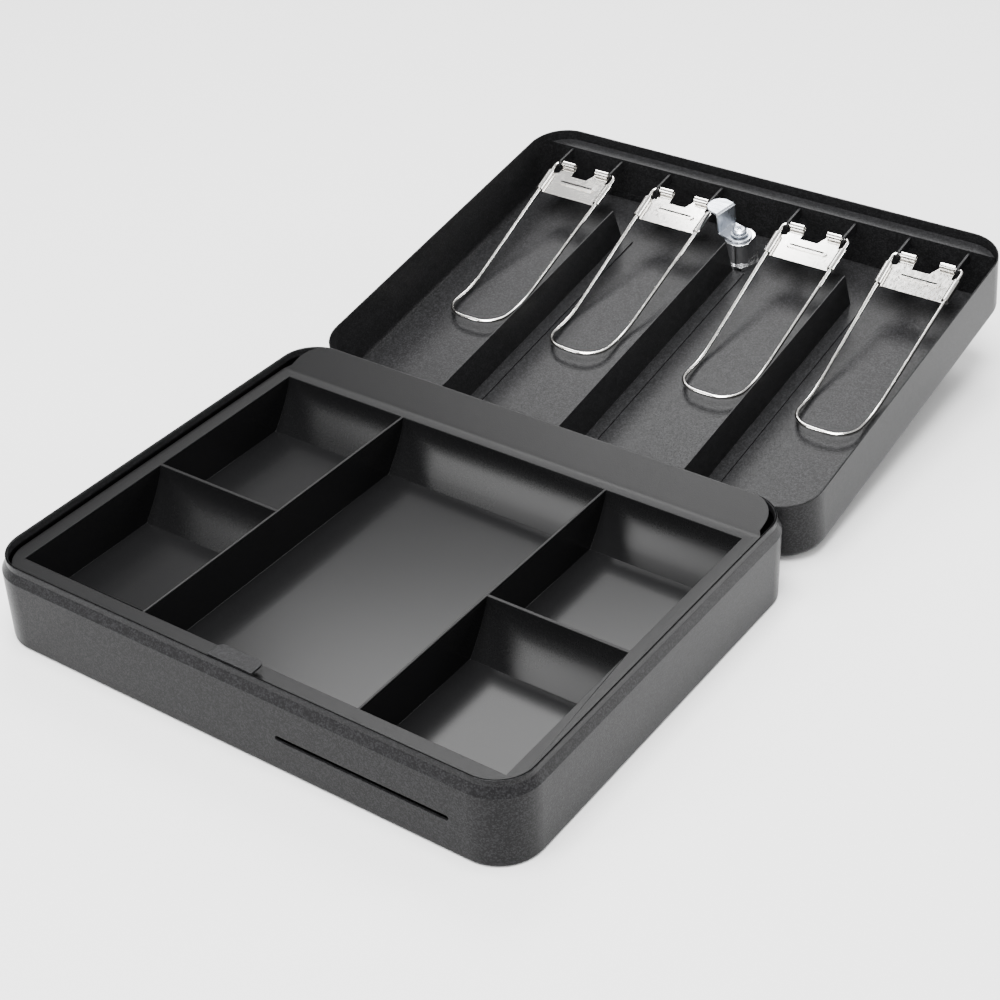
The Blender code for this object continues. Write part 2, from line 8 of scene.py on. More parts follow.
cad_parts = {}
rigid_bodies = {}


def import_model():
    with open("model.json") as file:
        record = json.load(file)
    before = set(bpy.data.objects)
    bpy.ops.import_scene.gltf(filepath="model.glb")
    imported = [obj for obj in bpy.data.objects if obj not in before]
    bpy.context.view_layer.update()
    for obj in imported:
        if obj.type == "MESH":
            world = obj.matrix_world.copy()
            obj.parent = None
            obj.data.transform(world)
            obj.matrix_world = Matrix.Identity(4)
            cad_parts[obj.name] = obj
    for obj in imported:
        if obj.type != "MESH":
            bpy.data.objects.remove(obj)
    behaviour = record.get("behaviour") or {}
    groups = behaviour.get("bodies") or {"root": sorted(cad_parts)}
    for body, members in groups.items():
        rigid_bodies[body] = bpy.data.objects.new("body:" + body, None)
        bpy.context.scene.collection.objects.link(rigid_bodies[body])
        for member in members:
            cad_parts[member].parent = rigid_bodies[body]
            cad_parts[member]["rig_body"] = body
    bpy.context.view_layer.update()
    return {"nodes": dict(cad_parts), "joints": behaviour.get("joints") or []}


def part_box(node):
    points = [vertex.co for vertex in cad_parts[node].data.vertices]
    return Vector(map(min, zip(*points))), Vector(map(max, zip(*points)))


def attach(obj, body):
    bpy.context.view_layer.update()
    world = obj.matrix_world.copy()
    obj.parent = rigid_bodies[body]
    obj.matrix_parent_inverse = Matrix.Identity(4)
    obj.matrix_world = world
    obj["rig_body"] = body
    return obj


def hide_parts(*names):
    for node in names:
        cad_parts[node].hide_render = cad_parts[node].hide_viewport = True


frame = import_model()
print("frame loaded:", len(frame["nodes"]), "parts")

# the case gives the plan of both halves, and the hinge turns the lid's closed shape to its open place
caseLow, caseHigh = (Vector(corner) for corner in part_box("base_shell"))
front, back = caseLow.y, caseHigh.y
halfWidth = caseHigh.x
joints = {joint["name"]: joint for joint in frame["joints"]}
hingePlace = Vector(joints["lid_hinge"]["pos_m"])
openAngle = radians(joints["lid_hinge"]["range_deg"][0])
openLid = Matrix.Translation(hingePlace) @ Matrix.Rotation(openAngle, 4, "X")
openLid = openLid @ Matrix.Translation(-hingePlace)
plan = {"corner": 0.022, "steps": 14, "lead": 0.0004}
# how far a cut goes past the sheet, and how much of a slot's half height its round ends take
cutting = {"past": 0.003, "roundEnd": 0.98}

cameraValues = {
    "place": (0.49626, -0.72011, 0.59632),
    "azimuth": 35.97,
    "elevation": 34.64,
    "roll": -2.03,
    "lens": 73.14,
}


def placeCamera(values):
    data = bpy.data.cameras.new("camera")
    data.lens = values["lens"]
    data.sensor_width = 36.0
    camera = bpy.data.objects.new("camera", data)
    bpy.context.scene.collection.objects.link(camera)
    turn = Matrix.Rotation(radians(values["azimuth"]), 4, "Z")
    turn = turn @ Matrix.Rotation(radians(90.0 - values["elevation"]), 4, "X")
    turn = turn @ Matrix.Rotation(radians(values["roll"]), 4, "Z")
    camera.matrix_world = Matrix.Translation(values["place"]) @ turn
    bpy.context.scene.camera = camera


placeCamera(cameraValues)


# shader groups for grain, drawn streaks and dust, shared by the finishes
def startGroup(name, inputs, outputs):
    tree = bpy.data.node_groups.new(name, "ShaderNodeTree")
    for label, kind, value in inputs:
        socket = tree.interface.new_socket(label, in_out="INPUT", socket_type=kind)
        socket.default_value = value
    for label, kind in outputs:
        tree.interface.new_socket(label, in_out="OUTPUT", socket_type=kind)
    return tree, tree.nodes.new("NodeGroupInput"), tree.nodes.new("NodeGroupOutput")


def makeGrainGroup():
    # a sandy skin: fine bumps with now and then a larger speck
    tree, start, end = startGroup(
        "sandyGrain",
        [("Grain Scale", "NodeSocketFloat", 1500.0), ("Speck Scale", "NodeSocketFloat", 500.0),
         ("Speck Share", "NodeSocketFloat", 0.35)],
        [("Height", "NodeSocketFloat"), ("Specks", "NodeSocketFloat"), ("Shade", "NodeSocketFloat")])
    place = tree.nodes.new("ShaderNodeTexCoord")
    split = tree.nodes.new("ShaderNodeSeparateColor")
    fine = tree.nodes.new("ShaderNodeTexNoise")
    fine.inputs["Detail"].default_value = 3.0
    fine.inputs["Roughness"].default_value = 0.65
    coarse = tree.nodes.new("ShaderNodeTexVoronoi")
    mix = tree.nodes.new("ShaderNodeMix")
    ramp = tree.nodes.new("ShaderNodeMapRange")
    ramp.inputs["From Min"].default_value = 0.05
    ramp.inputs["From Max"].default_value = 0.45
    ramp.inputs["To Min"].default_value = 1.0
    ramp.inputs["To Max"].default_value = 0.0
    link = tree.links.new
    link(place.outputs["Object"], fine.inputs["Vector"])
    link(place.outputs["Object"], coarse.inputs["Vector"])
    link(start.outputs["Grain Scale"], fine.inputs["Scale"])
    link(start.outputs["Speck Scale"], coarse.inputs["Scale"])
    link(coarse.outputs["Distance"], ramp.inputs["Value"])
    link(start.outputs["Speck Share"], mix.inputs["Factor"])
    link(fine.outputs["Fac"], mix.inputs["A"])
    link(ramp.outputs["Result"], mix.inputs["B"])
    link(mix.outputs["Result"], end.inputs["Height"])
    link(ramp.outputs["Result"], end.inputs["Specks"])
    link(coarse.outputs["Color"], split.inputs["Color"])
    link(split.outputs["Red"], end.inputs["Shade"])
    return tree


def makeStreakGroup():
    # fine drawn lines along one axis, as on plated wire and pressed strip
    tree, start, end = startGroup(
        "drawnStreaks",
        [("Stretch", "NodeSocketVector", (40.0, 2500.0, 2500.0)), ("Contrast", "NodeSocketFloat", 0.5)],
        [("Height", "NodeSocketFloat"), ("Shade", "NodeSocketFloat")])
    place = tree.nodes.new("ShaderNodeTexCoord")
    scale = tree.nodes.new("ShaderNodeVectorMath")
    scale.operation = "MULTIPLY"
    noise = tree.nodes.new("ShaderNodeTexNoise")
    noise.inputs["Scale"].default_value = 1.0
    noise.inputs["Detail"].default_value = 4.0
    shade = tree.nodes.new("ShaderNodeMapRange")
    shade.inputs["From Min"].default_value = 0.3
    shade.inputs["From Max"].default_value = 0.7
    power = tree.nodes.new("ShaderNodeMath")
    power.operation = "MULTIPLY"
    link = tree.links.new
    link(place.outputs["Object"], scale.inputs[0])
    link(start.outputs["Stretch"], scale.inputs[1])
    link(scale.outputs["Vector"], noise.inputs["Vector"])
    link(noise.outputs["Fac"], shade.inputs["Value"])
    link(shade.outputs["Result"], power.inputs[0])
    link(start.outputs["Contrast"], power.inputs[1])
    link(noise.outputs["Fac"], end.inputs["Height"])
    link(power.outputs["Value"], end.inputs["Shade"])
    return tree


def makeDustGroup():
    # soft clouds that lift the colour a little on faces that look up, as handling and dust do
    tree, start, end = startGroup(
        "handlingDust",
        [("Colour", "NodeSocketColor", (0.05, 0.05, 0.05, 1.0)),
         ("Dust", "NodeSocketColor", (0.3, 0.29, 0.28, 1.0)),
         ("Amount", "NodeSocketFloat", 0.1), ("Cloud Scale", "NodeSocketFloat", 18.0)],
        [("Colour", "NodeSocketColor"), ("Mask", "NodeSocketFloat")])
    place = tree.nodes.new("ShaderNodeTexCoord")
    cloud = tree.nodes.new("ShaderNodeTexNoise")
    cloud.inputs["Detail"].default_value = 5.0
    facing = tree.nodes.new("ShaderNodeNewGeometry")
    split = tree.nodes.new("ShaderNodeSeparateXYZ")
    upward = tree.nodes.new("ShaderNodeMapRange")
    upward.inputs["From Min"].default_value = 0.2
    upward.inputs["From Max"].default_value = 1.0
    upward.inputs["To Min"].default_value = 0.35
    both = tree.nodes.new("ShaderNodeMath")
    both.operation = "MULTIPLY"
    amount = tree.nodes.new("ShaderNodeMath")
    amount.operation = "MULTIPLY"
    mix = tree.nodes.new("ShaderNodeMix")
    mix.data_type = "RGBA"
    link = tree.links.new
    link(place.outputs["Object"], cloud.inputs["Vector"])
    link(start.outputs["Cloud Scale"], cloud.inputs["Scale"])
    link(facing.outputs["Normal"], split.inputs["Vector"])
    link(split.outputs["Z"], upward.inputs["Value"])
    link(cloud.outputs["Fac"], both.inputs[0])
    link(upward.outputs["Result"], both.inputs[1])
    link(both.outputs["Value"], amount.inputs[0])
    link(start.outputs["Amount"], amount.inputs[1])
    link(amount.outputs["Value"], mix.inputs["Factor"])
    link(start.outputs["Colour"], mix.inputs[6])
    link(start.outputs["Dust"], mix.inputs[7])
    link(mix.outputs[2], end.inputs["Colour"])
    link(both.outputs["Value"], end.inputs["Mask"])
    return tree


grainGroup = makeGrainGroup()
streakGroup = makeStreakGroup()
dustGroup = makeDustGroup()


def startFinish(name, values):
    material = bpy.data.materials.new(name)
    material.use_nodes = True
    nodes = material.node_tree.nodes
    shader = nodes["Principled BSDF"]
    shader.inputs["Metallic"].default_value = values.get("metallic", 0.0)
    shader.inputs["Specular IOR Level"].default_value = values.get("specular", 0.5)
    shader.inputs["IOR"].default_value = values.get("ior", 1.5)
    shader.inputs["Coat Roughness"].default_value = values.get("coatRoughness", 0.1)
    shader.inputs["Coat Weight"].default_value = values.get("coat", 0.0)
    return material, nodes, material.node_tree.links.new, shader


def addGroup(nodes, tree, **values):
    node = nodes.new("ShaderNodeGroup")
    node.node_tree = tree
    for label, value in values.items():
        node.inputs[label].default_value = value
    return node


def addRoughness(nodes, link, mask, low, high, socket):
    spread = nodes.new("ShaderNodeMapRange")
    spread.inputs["To Min"].default_value = low
    spread.inputs["To Max"].default_value = high
    link(mask, spread.inputs["Value"])
    link(spread.outputs["Result"], socket)


def makeCoating(name, values):
    # powder coat and moulded plastic: grain for the bump, gloss and shade, dust for the colour
    material, nodes, link, shader = startFinish(name, values)
    grain = addGroup(nodes, grainGroup, **{
        "Grain Scale": values["grain"], "Speck Scale": values["specks"],
        "Speck Share": values["speckShare"]})
    dust = addGroup(nodes, dustGroup, **{
        "Colour": (*values["colour"], 1.0), "Dust": (*values["dust"], 1.0), "Amount": values["dustAmount"],
        "Cloud Scale": values["clouds"]})
    peaks = nodes.new("ShaderNodeMapRange")
    peaks.inputs["From Min"].default_value = values["peakStart"]
    peaks.inputs["From Max"].default_value = 1.0
    tint = nodes.new("ShaderNodeMix")
    tint.data_type = "RGBA"
    tint.inputs[7].default_value = (*values["peakColour"], 1.0)
    bump = nodes.new("ShaderNodeBump")
    bump.inputs["Strength"].default_value = values["bump"]
    bump.inputs["Distance"].default_value = values["depth"]
    link(grain.outputs["Height"], bump.inputs["Height"])
    link(bump.outputs["Normal"], shader.inputs["Normal"])
    if "smoothBelow" in values:
        # the moulding's grain stops at the cups' edges, and the cups are polished
        place = nodes.new("ShaderNodeTexCoord")
        split = nodes.new("ShaderNodeSeparateXYZ")
        level = nodes.new("ShaderNodeMapRange")
        level.inputs["From Min"].default_value = values["smoothBelow"] - values["blend"]
        level.inputs["From Max"].default_value = values["smoothBelow"]
        level.inputs["To Min"].default_value = values["smoothBump"]
        level.inputs["To Max"].default_value = values["bump"]
        gloss = nodes.new("ShaderNodeMapRange")
        gloss.inputs["From Max"].default_value = values["bump"]
        gloss.inputs["To Min"].default_value = values["polish"]
        link(place.outputs["Object"], split.inputs["Vector"])
        link(split.outputs["Z"], level.inputs["Value"])
        link(level.outputs["Result"], bump.inputs["Strength"])
        link(level.outputs["Result"], gloss.inputs["Value"])
        addRoughness(nodes, link, grain.outputs["Specks"], *values["roughness"], gloss.inputs["To Max"])
        link(gloss.outputs["Result"], shader.inputs["Roughness"])
    else:
        dull = shader.inputs["Roughness"]
        addRoughness(nodes, link, grain.outputs["Specks"], *values["roughness"], dull)
    link(grain.outputs["Shade"], peaks.inputs["Value"])
    link(peaks.outputs["Result"], tint.inputs["Factor"])
    link(dust.outputs["Colour"], tint.inputs[6])
    link(tint.outputs[2], shader.inputs["Base Color"])
    return material


def makePlate(name, values):
    # plated metal: streaks for the bump, gloss and colour
    material, nodes, link, shader = startFinish(name, values)
    streaks = addGroup(nodes, streakGroup, Stretch=values["stretch"], Contrast=1.0)
    tint = nodes.new("ShaderNodeMix")
    tint.data_type = "RGBA"
    tint.inputs[6].default_value = (*values["colour"], 1.0)
    tint.inputs[7].default_value = (*values["streak"], 1.0)
    bump = nodes.new("ShaderNodeBump")
    bump.inputs["Strength"].default_value = values["bump"]
    bump.inputs["Distance"].default_value = values["depth"]
    link(streaks.outputs["Shade"], tint.inputs["Factor"])
    link(tint.outputs[2], shader.inputs["Base Color"])
    link(streaks.outputs["Height"], bump.inputs["Height"])
    link(bump.outputs["Normal"], shader.inputs["Normal"])
    addRoughness(nodes, link, streaks.outputs["Shade"], *values["roughness"], shader.inputs["Roughness"])
    return material


powderCoat = makeCoating("powderCoat", {
    "colour": (0.0060, 0.0060, 0.0063), "dust": (0.020, 0.020, 0.020), "dustAmount": 0.16, "clouds": 14.0,
    "grain": 2200.0, "specks": 1700.0, "speckShare": 0.6, "bump": 0.40, "depth": 0.00015,
    "peakStart": 0.35, "peakColour": (0.018, 0.018, 0.019), "roughness": (0.30, 0.46), "specular": 0.25,
    "ior": 1.25})
trayPlastic = makeCoating("trayPlastic", {
    "colour": (0.0030, 0.0030, 0.0032), "dust": (0.02, 0.02, 0.02), "dustAmount": 0.12, "clouds": 22.0,
    "grain": 2400.0, "specks": 1500.0, "speckShare": 0.40, "bump": 0.45, "depth": 0.00012,
    "peakStart": 0.60, "peakColour": (0.0045, 0.0045, 0.0047), "roughness": (0.34, 0.46), "specular": 0.13,
    "smoothBelow": 0.0402, "blend": 0.0008, "smoothBump": 0.01, "polish": 0.20})
nickelPlate = makePlate("nickelPlate", {
    "colour": (0.97, 0.95, 0.92), "streak": (0.86, 0.84, 0.80), "stretch": (900.0, 60.0, 900.0),
    "bump": 0.06, "depth": 0.00006, "roughness": (0.10, 0.20), "metallic": 1.0})
chromePlate = makePlate("chromePlate", {
    "colour": (0.86, 0.86, 0.87), "streak": (0.74, 0.74, 0.75), "stretch": (500.0, 500.0, 60.0),
    "bump": 0.05, "depth": 0.00005, "roughness": (0.07, 0.16), "metallic": 1.0})
zincPlate = makePlate("zincPlate", {
    "colour": (0.62, 0.65, 0.70), "streak": (0.40, 0.43, 0.48), "stretch": (120.0, 1500.0, 120.0),
    "bump": 0.20, "depth": 0.00010, "roughness": (0.24, 0.42), "metallic": 1.0})
print("finishes made")


def finishPiece(name, mesh, material, body, slotName, *nodes, sharp=35.0):
    # one finish and one body for a piece; sharp=None keeps the shading that a softened mesh has
    mesh.name = name
    mesh.materials.clear()
    mesh.materials.append(material)
    if sharp is not None:
        mesh.shade_smooth()
        mesh.set_sharp_from_angle(angle=radians(sharp))
    piece = bpy.data.objects.new(name, mesh)
    bpy.context.scene.collection.objects.link(piece)
    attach(piece, body)
    if nodes:
        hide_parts(*nodes)
    return piece


def meshOf(shape, name="mesh"):
    mesh = bpy.data.meshes.new(name)
    shape.to_mesh(mesh)
    shape.free()
    return mesh


def closeSeams(mesh):
    # points that lie on each other become one
    shape = bmesh.new()
    shape.from_mesh(mesh)
    bmesh.ops.remove_doubles(shape, verts=shape.verts, dist=1e-7)
    return meshOf(shape)


def roundProfile(points, steps=6):
    # a polyline of (u, v, radius) with its corners rounded and short straight leads beside each round
    out = [Vector(points[0][:2])]
    for before, point, after in zip(points, points[1:], points[2:]):
        here, radius = Vector(point[:2]), point[2]
        if radius <= 0.0:
            out.append(here)
            continue
        inWay = (Vector(before[:2]) - here).normalized()
        outWay = (Vector(after[:2]) - here).normalized()
        half = inWay.angle(outWay) / 2
        reach = radius / max(1e-6, sin(half) / cos(half))
        centre = here + (inWay + outWay).normalized() * (radius / sin(half))
        startArm = here + inWay * reach - centre
        turn = pi - 2 * half
        turn = turn if inWay.cross(outWay) < 0 else -turn
        out.append(here + inWay * (reach + plan["lead"]))
        for i in range(steps + 1):
            angle = turn * i / steps
            arm = Vector((startArm.x * cos(angle) - startArm.y * sin(angle),
                          startArm.x * sin(angle) + startArm.y * cos(angle)))
            out.append(centre + arm)
        out.append(here + outWay * (reach + plan["lead"]))
    out.append(Vector(points[-1][:2]))
    return out


def planRing(inset, height):
    # the case's round-cornered plan, taken in by an inset, with a short straight lead beside each round
    radius = max(plan["corner"] - inset, 0.0006)
    cornerX = halfWidth - inset - radius
    low, high = front + inset + radius, back - inset - radius
    ring = []
    for i, (cx, cy) in enumerate(((cornerX, high), (-cornerX, high), (-cornerX, low), (cornerX, low))):
        first = radians(90 * i)
        leadIn = Vector((sin(first), -cos(first))) * plan["lead"]
        for k in range(plan["steps"] + 1):
            angle = first + pi / 2 * k / plan["steps"]
            ring.append(Vector((cx + radius * cos(angle), cy + radius * sin(angle), height)))
        last = first + pi / 2
        leadOut = Vector((-sin(last), cos(last))) * plan["lead"]
        begin = Vector((cx + radius * cos(first), cy + radius * sin(first), height))
        ring.insert(len(ring) - plan["steps"] - 1, begin + leadIn.to_3d())
        ring.append(Vector((cx + radius * cos(last), cy + radius * sin(last), height)) + leadOut.to_3d())
    return ring


def loftShell(profile):
    # rings along a profile of (inset, height), bridged, and capped at both ends
    shape = bmesh.new()
    rings = [[shape.verts.new(point) for point in planRing(inset, height)] for inset, height in profile]
    for lower, upper in zip(rings, rings[1:]):
        for i in range(len(lower)):
            j = (i + 1) % len(lower)
            shape.faces.new((lower[i], lower[j], upper[j], upper[i]))
    shape.faces.new(rings[0][::-1])
    shape.faces.new(rings[-1])
    bmesh.ops.recalc_face_normals(shape, faces=shape.faces)
    return shape


def cutMesh(mesh, tools, operation="DIFFERENCE"):
    # Booleans run on hidden helpers, whose result comes back as a plain mesh
    piece = bpy.data.objects.new("cutPiece", mesh)
    bpy.context.scene.collection.objects.link(piece)
    helpers = []
    for tool in tools:
        helper = bpy.data.objects.new("cutTool", tool)
        bpy.context.scene.collection.objects.link(helper)
        step = piece.modifiers.new("cut", "BOOLEAN")
        step.operation = operation
        step.object = helper
        helpers.append(helper)
    bpy.context.view_layer.update()
    view = bpy.context.evaluated_depsgraph_get()
    result = bpy.data.meshes.new_from_object(piece.evaluated_get(view))
    for helper in (piece, *helpers):
        bpy.data.objects.remove(helper, do_unlink=True)
    return result


def blockMesh(x, y, z, radius=0.0, steps=4, axis=None):
    # a block between limits; its edges along one axis may be round
    shape = bmesh.new()
    size = Matrix.Diagonal((x[1] - x[0], y[1] - y[0], z[1] - z[0], 1.0))
    middle = Matrix.Translation((sum(x) / 2, sum(y) / 2, sum(z) / 2))
    bmesh.ops.create_cube(shape, size=1.0, matrix=middle @ size)
    if radius:
        edges = [e for e in shape.edges
                 if axis is None or abs((e.verts[0].co - e.verts[1].co).normalized()[axis]) > 0.9]
        bmesh.ops.bevel(shape, geom=edges, offset=radius, segments=steps, profile=0.5, affect="EDGES")
    return meshOf(shape)


def rodMesh(radius, start, end, sides=48):
    start, end = Vector(start), Vector(end)
    turn = Vector((0.0, 0.0, 1.0)).rotation_difference(end - start).to_matrix().to_4x4()
    shape = bmesh.new()
    bmesh.ops.create_cone(shape, cap_ends=True, segments=sides, radius1=radius, radius2=radius,
                          depth=(end - start).length, matrix=Matrix.Translation((start + end) / 2) @ turn)
    return meshOf(shape)


def softenMesh(mesh, width, segments=2, angle=30.0, clean=True):
    # edges broken all round: merged, flats cleaned, beveled, and shaded so that the flats stay flat
    shape = bmesh.new()
    shape.from_mesh(mesh)
    bmesh.ops.remove_doubles(shape, verts=shape.verts, dist=2e-6)
    if clean:
        bmesh.ops.dissolve_limit(shape, angle_limit=radians(1.0), verts=shape.verts, edges=shape.edges)
    else:
        bmesh.ops.triangulate(shape, faces=shape.faces)
    for face in shape.faces:
        face.smooth = True
    helper = bpy.data.objects.new("soften", meshOf(shape))
    bpy.context.scene.collection.objects.link(helper)
    edge = helper.modifiers.new("edge", "BEVEL")
    edge.width = width
    edge.segments = segments
    edge.limit_method = "ANGLE"
    edge.angle_limit = radians(angle)
    edge.miter_outer = "MITER_ARC"
    shade = helper.modifiers.new("shade", "WEIGHTED_NORMAL")
    shade.mode = "FACE_AREA_WITH_ANGLE"
    shade.weight = 60
    bpy.context.view_layer.update()
    view = bpy.context.evaluated_depsgraph_get()
    soft = bpy.data.meshes.new_from_object(helper.evaluated_get(view))
    bpy.data.objects.remove(helper, do_unlink=True)
    return soft


def softenNode(name, material, slotName, width, segments=2, extra=None, clean=True):
    node = frame["nodes"][name]
    mesh = node.data if extra is None else extra(node.data)
    soft = softenMesh(mesh, width, segments, clean=clean)
    return finishPiece(name + "Smooth", soft, material, node["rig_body"], slotName, name, sharp=None)


def stripOutline(path, sheet, radius, steps=5):
    # the outline of a sheet folded along a middle line, its folds rounded
    corners = [(*point, radius) for point in path]
    line = roundProfile(corners, steps)
    ways = [(after - before).normalized() for before, after in zip(line, line[1:])]
    ways = [ways[0]] + [(a + b).normalized() for a, b in zip(ways, ways[1:])] + [ways[-1]]
    left = [point + Vector((-way.y, way.x)) * (sheet / 2) for point, way in zip(line, ways)]
    right = [point - Vector((-way.y, way.x)) * (sheet / 2) for point, way in zip(line, ways)]
    return left + right[::-1]


def extrudeOutline(points, low, high, axis="Z"):
    # a flat outline given a thickness; along X its points are (y, z), along Y they are (x, z)
    places = {"Z": lambda u, v, w: (u, v, w), "X": lambda u, v, w: (w, u, v),
              "Y": lambda u, v, w: (u, w, v)}
    shape = bmesh.new()
    bottom = [shape.verts.new(places[axis](u, v, low)) for u, v in points]
    top = [shape.verts.new(places[axis](u, v, high)) for u, v in points]
    shape.faces.new(bottom)
    shape.faces.new(top)
    for i in range(len(points)):
        j = (i + 1) % len(points)
        shape.faces.new((bottom[i], bottom[j], top[j], top[i]))
    bmesh.ops.recalc_face_normals(shape, faces=shape.faces)
    return meshOf(shape)


def arcPoints(centre, radius, first, last, steps=16):
    turns = [radians(first + (last - first) * i / steps) for i in range(steps + 1)]
    return [(centre[0] + radius * cos(a), centre[1] + radius * sin(a)) for a in turns]


caseValues = {
    "wall": 0.0378, "sheet": 0.0012, "foot": 0.0014, "shoulderRise": 0.0043, "shoulderInset": 0.00245,
    "bend": 0.0009, "rimRound": 0.00045, "slotLength": 0.0924, "slotHeight": 0.0028, "slotX": 0.0720,
    "slotZ": 0.0187, "floorInset": 0.030,
}


def makeCase(values):
    sheet, bend = values["sheet"], values["bend"]
    top = caseHigh.z
    wall, inset = values["wall"], values["shoulderInset"]
    shoulder = wall + values["shoulderRise"]
    inner = inset + sheet
    lip, flat = values["rimRound"], values["floorInset"]
    profile = roundProfile([
        (flat, 0.0, 0.0), (0.0, 0.0, values["foot"]), (0.0, wall, bend), (inset, shoulder, bend),
        (inset, top, lip), (inner, top, lip), (inner, shoulder - sheet * 0.3, bend * 0.6),
        (sheet, wall - sheet * 0.3, bend), (sheet, sheet, values["foot"] - sheet * 0.4),
        (flat, sheet, 0.0)])
    shell = meshOf(loftShell(profile))
    z, high = values["slotZ"], values["slotHeight"] / 2
    half = values["slotLength"] / 2
    x = (values["slotX"] - half, values["slotX"] + half)
    through = (front - cutting["past"], front + cutting["past"])
    slot = blockMesh(x, through, (z - high, z + high), high * cutting["roundEnd"], 6, axis=1)
    shell = cutMesh(shell, [slot])
    finishPiece("caseShell", shell, powderCoat, "case", "powder_coat", "base_shell")


makeCase(caseValues)


catchValues = {"corner": 0.0032, "past": 0.010, "edge": 0.00022, "leafEdge": 0.00012}


def roundCatch(mesh):
    # the catch's free corners are round
    low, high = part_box("catch_plate")
    work = mesh.copy()
    work.materials.clear()
    room = blockMesh((low[0], high[0]), (low[1] - catchValues["past"], high[1]),
                     (low[2] - 0.001, high[2] + 0.001), catchValues["corner"], 6, axis=2)
    return cutMesh(work, [room], "INTERSECT")


softenNode("catch_plate", powderCoat, "powder_coat", catchValues["edge"], 2, roundCatch)
for leaf in ("base_hinge_leaf", "lid_hinge_leaf"):
    softenNode(leaf, powderCoat, "powder_coat", catchValues["leafEdge"])
frame["nodes"]["hinge_pin"].data.materials.clear()
frame["nodes"]["hinge_pin"].data.materials.append(zincPlate)
print("case made")


trayValues = {"edge": 0.00042, "edgeSteps": 3}

softenNode("coin_tray", trayPlastic, "black_plastic", trayValues["edge"], trayValues["edgeSteps"])
print("tray made")


lidValues = {
    "seam": 0.0021, "height": 0.0354, "sheet": 0.0008, "edge": 0.0045, "rimRound": 0.00035, "lockY": 0.0340,
    "barrelHole": 0.0093, "holePast": 0.004, "floorInset": 0.030, "dividerEdge": 0.00018,
}


def makeLid(values):
    rim = caseValues["wall"] + values["seam"]
    top = rim + values["height"]
    sheet, lip, flat = values["sheet"], values["rimRound"], values["floorInset"]
    profile = roundProfile([
        (flat, top, 0.0), (0.0, top, values["edge"]), (0.0, rim, lip), (sheet, rim, lip),
        (sheet, top - sheet, values["edge"] - sheet), (flat, top - sheet, 0.0)], 8)
    shell = meshOf(loftShell(profile))
    y, past = front + values["lockY"], values["holePast"]
    shell = cutMesh(shell, [rodMesh(values["barrelHole"], (0.0, y, top - past), (0.0, y, top + past))])
    shell.transform(openLid)
    finishPiece("lidShell", shell, powderCoat, "lid", "powder_coat", "lid_shell")


makeLid(lidValues)

railValues = {
    "reach": 0.0087, "panelDepth": 0.00022,
    "panels": ((-0.0920, -0.0570), (0.0110, 0.0460), (0.0800, 0.1080)),
    "panelTop": 0.0525, "panelLow": 0.0700, "panelCorner": 0.0012, "edge": 0.00012,
}


def pressRail(values):
    # shallow panels pressed into the rail's upright face, in the closed lid's place
    def press(mesh):
        work = mesh.copy()
        work.materials.clear()
        work.transform(openLid.inverted())
        face = front + values["reach"]
        tools = [blockMesh(x, (face - values["panelDepth"], face + 0.002),
                           (values["panelTop"], values["panelLow"]), values["panelCorner"], 4, axis=1)
                 for x in values["panels"]]
        for tool in tools:
            work = cutMesh(work, [tool])
        work.transform(openLid)
        return work
    return press


softenNode("clip_rail", powderCoat, "powder_coat", railValues["edge"], 2, pressRail(railValues),
           clean=False)
for index in range(1, 4):
    softenNode(f"divider_{index}", powderCoat, "powder_coat", lidValues["dividerEdge"])
print("lid made")


# rivets, from one tree for both rows
rivetValues = {"head": 0.0024, "dome": 0.0009, "shank": 0.0012, "tail": 0.0021, "tailHeight": 0.0005,
               "caseGrip": 0.0026, "lidGrip": 0.0022}


